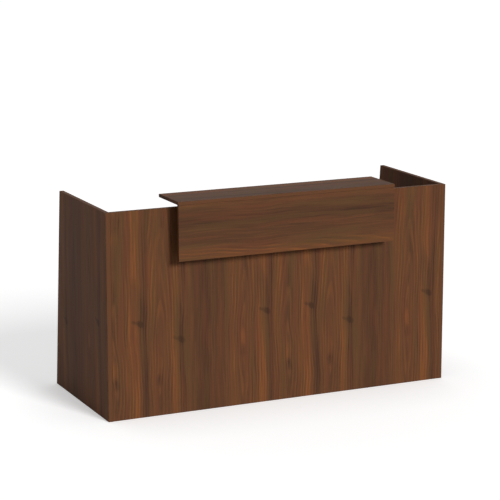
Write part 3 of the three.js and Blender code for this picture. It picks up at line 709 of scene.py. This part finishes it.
screw = cylinder(SCREW_SIDES, SCREW_HEAD_RADIUS, 0, SCREW_HEAD_HEIGHT)
pick(screw, "EDGE", edge_is_at(screw, SCREW_HEAD_HEIGHT))
bpy.ops.mesh.bevel(offset=SCREW_ROUNDING, segments=4, profile=0.5)
done()
for turn in (0.0, math.pi / 2):
    combine(screw, recess_wedge(turn), "DIFFERENCE")
pick(screw, "FACE", lambda face: faces_down(face) and face.center.z < TOUCH)
bpy.ops.mesh.inset(thickness=SCREW_HEAD_RADIUS - SCREW_SHANK_RADIUS)
extrude(0, -SCREW_SHANK_LENGTH)
done()
smooth(screw, 35)
paint(screw, FINISHES["zinc_steel"])
print("screw:", len(screw.data.polygons), "faces")

# %% [markdown]
# The holes are found from the frame: each steel piece's box gives its corners, and the insets are
# those of its own holes. A place for a screw is a point on the steel and the direction that the
# screw's head looks in, away from the board.

# %% Find the screw holes
ANGLE_WALL = 0.003
ANGLE_HOLE_RISE = 0.0215
ANGLE_HOLE_INSET = 0.04
FRONT_ANGLE_HOLES = 5
SIDE_ANGLE_HOLES = 3
BRACKET_WALL = 0.005
BRACKET_GAP = 0.0003
BRACKET_HOLE_SPREAD = 0.011
BRACKET_END_INSET = 0.018
BRACKET_LEG_DROP = 0.050
BRACKET_FASCIA_DROP = 0.052
LEVELLER_WALL = 0.003
LEVELLER_HOLE_RISE = 0.052
LEVELLER_HOLE_SPREAD = 0.013
STIFFENER_WALL = 0.002
STIFFENER_HOLE_INSET = 0.12
STIFFENER_HOLES = 5
DOWN = (0, 0, -1)
BACK = (0, 1, 0)


def spread(count, first, last):
    return [first + (last - first) * index / (count - 1) for index in range(count)]


def front_angle_screws():
    low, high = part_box("worktop_angle_front")
    places = []
    for x in spread(FRONT_ANGLE_HOLES, low.x + ANGLE_HOLE_INSET, high.x - ANGLE_HOLE_INSET):
        places.append(((x, low.y + ANGLE_WALL, high.z - ANGLE_HOLE_RISE), BACK))
        places.append(((x, low.y + ANGLE_HOLE_RISE, high.z - ANGLE_WALL), DOWN))
    return places


def side_angle_screws(side):
    low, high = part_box("worktop_angle_" + side)
    panel, inwards = (low.x, 1) if side == "left" else (high.x, -1)
    places = []
    for y in spread(SIDE_ANGLE_HOLES, low.y + ANGLE_HOLE_INSET, high.y - ANGLE_HOLE_INSET):
        places.append(((panel + inwards * ANGLE_WALL, y, high.z - ANGLE_HOLE_RISE), (inwards, 0, 0)))
        places.append(((panel + inwards * ANGLE_HOLE_RISE, y, high.z - ANGLE_WALL), DOWN))
    return places


def bracket_screws(side):
    low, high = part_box("counter_bracket_" + side)
    panel_low, panel_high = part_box("front_panel")
    panel_middle = (panel_low.y + panel_high.y) / 2
    leg_back = panel_high.y + BRACKET_GAP + BRACKET_WALL
    under = high.z - BRACKET_WALL
    middle = (low.x + high.x) / 2
    places = []
    for x in (middle - BRACKET_HOLE_SPREAD, middle + BRACKET_HOLE_SPREAD):
        places.append(((x, high.y - BRACKET_END_INSET, under), DOWN))
        places.append(((x, panel_middle, under), DOWN))
        places.append(((x, leg_back, low.z + BRACKET_END_INSET), BACK))
        places.append(((x, leg_back, high.z - BRACKET_LEG_DROP), BACK))
        places.append(((x, low.y + BRACKET_WALL, high.z - BRACKET_FASCIA_DROP), BACK))
    return places


def leveller_screws(corner):
    low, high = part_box("leveller_bracket_" + corner)
    level = low.z + LEVELLER_HOLE_RISE
    middle = (low + high) / 2
    places = []
    for aside in (-LEVELLER_HOLE_SPREAD, LEVELLER_HOLE_SPREAD):
        if corner.startswith("panel"):
            places.append(((middle.x + aside, low.y + LEVELLER_WALL, level), BACK))
        elif corner.endswith("left"):
            places.append(((low.x + LEVELLER_WALL, middle.y + aside, level), (1, 0, 0)))
        else:
            places.append(((high.x - LEVELLER_WALL, middle.y + aside, level), (-1, 0, 0)))
    return places


def stiffener_screws():
    low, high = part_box("worktop_stiffener")
    middle = (low.y + high.y) / 2
    row = spread(STIFFENER_HOLES, low.x + STIFFENER_HOLE_INSET, high.x - STIFFENER_HOLE_INSET)
    return [((x, middle, high.z - STIFFENER_WALL), DOWN) for x in row]


FEET = ("front_left", "rear_left", "panel_left", "front_right", "rear_right", "panel_right")
screw_places = {
    "worktop_angle_front": front_angle_screws(),
    "worktop_angle_left": side_angle_screws("left"),
    "worktop_angle_right": side_angle_screws("right"),
    **{"counter_bracket_" + side: bracket_screws(side) for side in ("left", "centre", "right")},
    **{"leveller_" + corner: leveller_screws(corner) for corner in FEET},
    "worktop_stiffener": stiffener_screws(),
}
print("screw holes:", sum(len(places) for places in screw_places.values()))

# %% [markdown]
# The screw is copied to every hole, each copy turned on a little, since no two screws stop at the
# same angle. The copies on one steel piece are joined, so that each piece has its own set of
# screws. They are fixed to the desk and never move, so every set rides on the desk's body.

# %% Put a screw in every hole
SCREW_TURN_ON = 0.7


def screw_copy(point, direction, spin):
    copy = screw.copy()
    copy.data = screw.data.copy()
    bpy.context.scene.collection.objects.link(copy)
    turn = Vector(direction).to_track_quat("Z", "Y").to_matrix().to_4x4()
    copy.data.transform(Matrix.Translation(point) @ turn @ Matrix.Rotation(spin, 4, "Z"))
    return copy


def screw_set(name, places):
    """Copies the screw to places given as (point, direction), and joins the copies."""
    copies = []
    for index, (point, direction) in enumerate(places):
        copies.append(screw_copy(point, direction, index * SCREW_TURN_ON))
    only(copies[0])
    for copy in copies:
        copy.select_set(True)
    bpy.ops.object.join()
    made = bpy.context.object
    made.name = name
    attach(made, "desk")


for piece, places in screw_places.items():
    screw_set("screws_" + piece, places)
bpy.data.objects.remove(screw)
print("screw sets:", len(screw_places))

# %% [markdown]
# The levelling stems are threaded rods, and a plain rod would look unfinished where they stand up
# out of their nuts. The thread starts as the outline of one tooth, three short edges, which a Screw
# modifier sweeps round and up, so the teeth climb at the real pitch. The turns are merged into one
# skin, and two bisections cut it flat at the bottom and the top.

# %% Thread one levelling stem
THREAD_PITCH = 0.0015
THREAD_DEPTH = 0.0009
THREAD_STEPS = 20
TOOTH_FLANK = 0.42 * THREAD_PITCH
TOOTH_CREST = 0.16 * THREAD_PITCH
SPARE_TURNS = 2
WELD_REACH = 1e-5
STEM_RADIUS = 0.005
COLLAR_HEIGHT = 0.003

stem_low, stem_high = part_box("leveller_stem_front_left")
stem_length = stem_high.z - stem_low.z
root_radius = STEM_RADIUS - THREAD_DEPTH
bpy.ops.object.select_all(action="DESELECT")
bpy.ops.mesh.primitive_plane_add(size=0.001, location=(root_radius, 0, -SPARE_TURNS * THREAD_PITCH))
stem = bpy.context.object
bpy.ops.object.transform_apply(location=True)
bpy.ops.object.mode_set(mode="EDIT")
bpy.ops.mesh.select_mode(type="VERT")
bpy.ops.mesh.select_all(action="SELECT")
bpy.ops.mesh.merge(type="CENTER")
extrude(THREAD_DEPTH, TOOTH_FLANK)
extrude(0, TOOTH_CREST)
extrude(-THREAD_DEPTH, TOOTH_FLANK)
done()

sweep = stem.modifiers.new("thread", "SCREW")
sweep.screw_offset = THREAD_PITCH
sweep.iterations = math.ceil(stem_length / THREAD_PITCH) + 2 * SPARE_TURNS
sweep.steps = THREAD_STEPS
sweep.render_steps = THREAD_STEPS
bpy.ops.object.modifier_apply(modifier=sweep.name)
bpy.ops.object.mode_set(mode="EDIT")
bpy.ops.mesh.select_all(action="SELECT")
bpy.ops.mesh.remove_doubles(threshold=WELD_REACH)
for level, side in ((COLLAR_HEIGHT / 2, "clear_inner"), (stem_length, "clear_outer")):
    bpy.ops.mesh.select_all(action="SELECT")
    bpy.ops.mesh.bisect(plane_co=(0, 0, level), plane_no=(0, 0, 1), use_fill=True, **{side: True})
bpy.ops.mesh.select_all(action="SELECT")
bpy.ops.mesh.normals_make_consistent(inside=False)
done()
print("swept thread:", len(stem.data.polygons), "faces")

# %% [markdown]
# A blank with a bevelled top is laid over the thread and only what both share is kept, as if the
# end had been chamfered on a lathe. Then a hexagon socket is cut into the top, and the collar that
# turns in the pad is joined on below. The finished stem is copied to the six feet, where each copy
# takes the place of its plain rod and moves with it.

# %% Finish the stem and copy it to the six feet
STEM_SIDES = 32
STEM_CHAMFER = 0.001
BLANK_RADIUS = 1.02 * STEM_RADIUS
COLLAR_RADIUS = 0.008
SOCKET_SIDES = 6
SOCKET_RADIUS = 0.0029
SOCKET_DEPTH = 0.006

blank = cylinder(STEM_SIDES, BLANK_RADIUS, 0, stem_length)
pick(blank, "EDGE", edge_is_at(blank, stem_length))
bpy.ops.mesh.bevel(offset=STEM_CHAMFER, segments=1)
done()
combine(stem, blank, "INTERSECT")
socket = cylinder(SOCKET_SIDES, SOCKET_RADIUS, stem_length - SOCKET_DEPTH, stem_length + SOCKET_DEPTH)
combine(stem, socket, "DIFFERENCE")
collar = cylinder(STEM_SIDES, COLLAR_RADIUS, 0, COLLAR_HEIGHT)
only(stem)
collar.select_set(True)
bpy.ops.object.join()
smooth(stem, 30)
paint(stem, FINISHES["zinc_steel"])


def copy_to_feet(piece, name, node, body):
    """Puts a copy of a piece in the place of a CAD node at each foot, and removes the piece."""
    for corner in FEET:
        low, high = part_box(node + corner)
        copy = piece.copy()
        copy.data = piece.data.copy()
        copy.name = name + corner
        bpy.context.scene.collection.objects.link(copy)
        copy.data.transform(Matrix.Translation(((low.x + high.x) / 2, (low.y + high.y) / 2, low.z)))
        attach(copy, body + corner)
        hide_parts(node + corner)
    print(name, len(FEET), "copies of", len(piece.data.polygons), "faces")
    bpy.data.objects.remove(piece)


copy_to_feet(stem, "threaded_stem_", "leveller_stem_", "stem_")

# %% [markdown]
# The foot pads are moulded plastic discs with a coned shoulder, seen close up from the floor. A low
# cylinder is extruded upwards and drawn in for the shoulder, its top is inset and pushed down for
# the pocket that the stem's collar turns in, and its outer edges are bevelled, as a mould would
# round them.

# %% Model one foot pad and copy it to the six feet
PAD_SIDES = 48
PAD_RIM_HEIGHT = 0.004
PAD_CROWN_RADIUS = 0.012
PAD_POCKET_RADIUS = 0.0083
PAD_POCKET_DEPTH = 0.006
PAD_ROUNDING = 0.0008
PAD_MARGIN = 1e-4

pad_low, pad_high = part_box("leveller_pad_front_left")
pad_radius = (pad_high.x - pad_low.x) / 2
pad_height = pad_high.z - pad_low.z
draw_in = PAD_CROWN_RADIUS / pad_radius
pad = cylinder(PAD_SIDES, pad_radius, 0, PAD_RIM_HEIGHT)
pick(pad, "FACE", faces_up)
extrude(0, pad_height - PAD_RIM_HEIGHT)
bpy.ops.transform.resize(value=(draw_in, draw_in, 1))
bpy.ops.mesh.inset(thickness=PAD_CROWN_RADIUS - PAD_POCKET_RADIUS)
extrude(0, -PAD_POCKET_DEPTH)
done()


def is_outer_edge(edge):
    first, second = (pad.data.vertices[index].co for index in edge.vertices)
    return abs(first.z - second.z) < TOUCH and first.xy.length > PAD_CROWN_RADIUS - PAD_MARGIN


pick(pad, "EDGE", is_outer_edge)
bpy.ops.mesh.bevel(offset=PAD_ROUNDING, segments=3, profile=0.5)
done()
smooth(pad, 40)
paint(pad, FINISHES["black_plastic"])
copy_to_feet(pad, "moulded_pad_", "leveller_pad_", "pad_")

# %% [markdown]
# The studio is a pale floor that runs on into a white surround. To the camera the floor is lifted
# to white by a little light of its own, so no extra light has to reach the desk, and the desk's
# shadow still shows on it. That light would also wash out the soft dark line where the boards meet
# the floor, so it is dimmed there by as much as an Ambient Occlusion node finds the floor covered,
# which paints a soft contact shade round the foot of the desk.

# %% Studio floor
FLOOR_SIZE = 240.0
FLOOR_GREY = 0.86
FLOOR_ROUGHNESS = 0.9
FLOOR_LIFT = 0.56
CONTACT_REACH = 0.5
CONTACT_SHADE = 0.5


def seen_directly(wire):
    """1 where the camera looks, also in a reflection or through glass, and 0 for other light."""
    path = wire.node("ShaderNodeLightPath", output="Is Camera Ray")
    seen = path + path.sibling("Is Glossy Ray") + path.sibling("Is Transmission Ray")
    return seen.step(0.0, 1.0)


bpy.ops.object.select_all(action="DESELECT")
bpy.ops.mesh.primitive_plane_add(size=FLOOR_SIZE)
floor = bpy.context.object
floor.name = "floor"
floor_material, floor_shader, floor_place = new_material("pale_floor")
# The floor's own light, dimmed where the floor is covered: painted contact shade near the boards
open_sky = floor_place.node("ShaderNodeAmbientOcclusion", {}, {"Distance": CONTACT_REACH}, "AO")
lift_with_painted_shade = FLOOR_LIFT * (1 - CONTACT_SHADE + open_sky * CONTACT_SHADE)
feed(floor_shader, {
    "Base Color": grey(FLOOR_GREY),
    "Roughness": FLOOR_ROUGHNESS,
    "Specular IOR Level": 0.0,
    "Emission Color": seen_directly(floor_place) * lift_with_painted_shade,
    "Emission Strength": 1.0,
})
paint(floor, floor_material)
print("floor:", FLOOR_SIZE, "m square")

# %% [markdown]
# One soft key light comes from the front, a little from the right and above, and lays the
# counter's shadow on the front panel. The surround is plain white to the camera, but it lights the
# desk only faintly, and somewhat more from behind, where the desk is used, so that its inside isn't
# lost in the dark.

# %% Studio light
SURROUND_LIGHT = 0.16
REAR_LIGHT = 0.42
KEY_LIGHT = 2.6
KEY_SOFTNESS = math.radians(18.0)
KEY_DIRECTION = Vector((0.26, -1.0, 0.46))

world = bpy.data.worlds.new("surround")
world.use_nodes = True
bpy.context.scene.world = world
world_tree = world.node_tree
direction = Wire(world_tree, world_tree.nodes.new("ShaderNodeTexCoord").outputs["Generated"])
backward = direction.node("ShaderNodeSeparateXYZ", {}, {"Vector": direction}, "Y").step(0.0, 1.0)
light = SURROUND_LIGHT + backward * REAR_LIGHT
seen = seen_directly(direction)
feed(world_tree.nodes["Background"], {"Color": grey(1.0), "Strength": seen + (1 - seen) * light})

key_data = bpy.data.lights.new("key_light", "SUN")
key_data.energy = KEY_LIGHT
key_data.angle = KEY_SOFTNESS
key = bpy.data.objects.new("key_light", key_data)
key.rotation_euler = KEY_DIRECTION.to_track_quat("Z", "Y").to_euler()
bpy.context.scene.collection.objects.link(key)
print("studio: floor, surround and one key light")
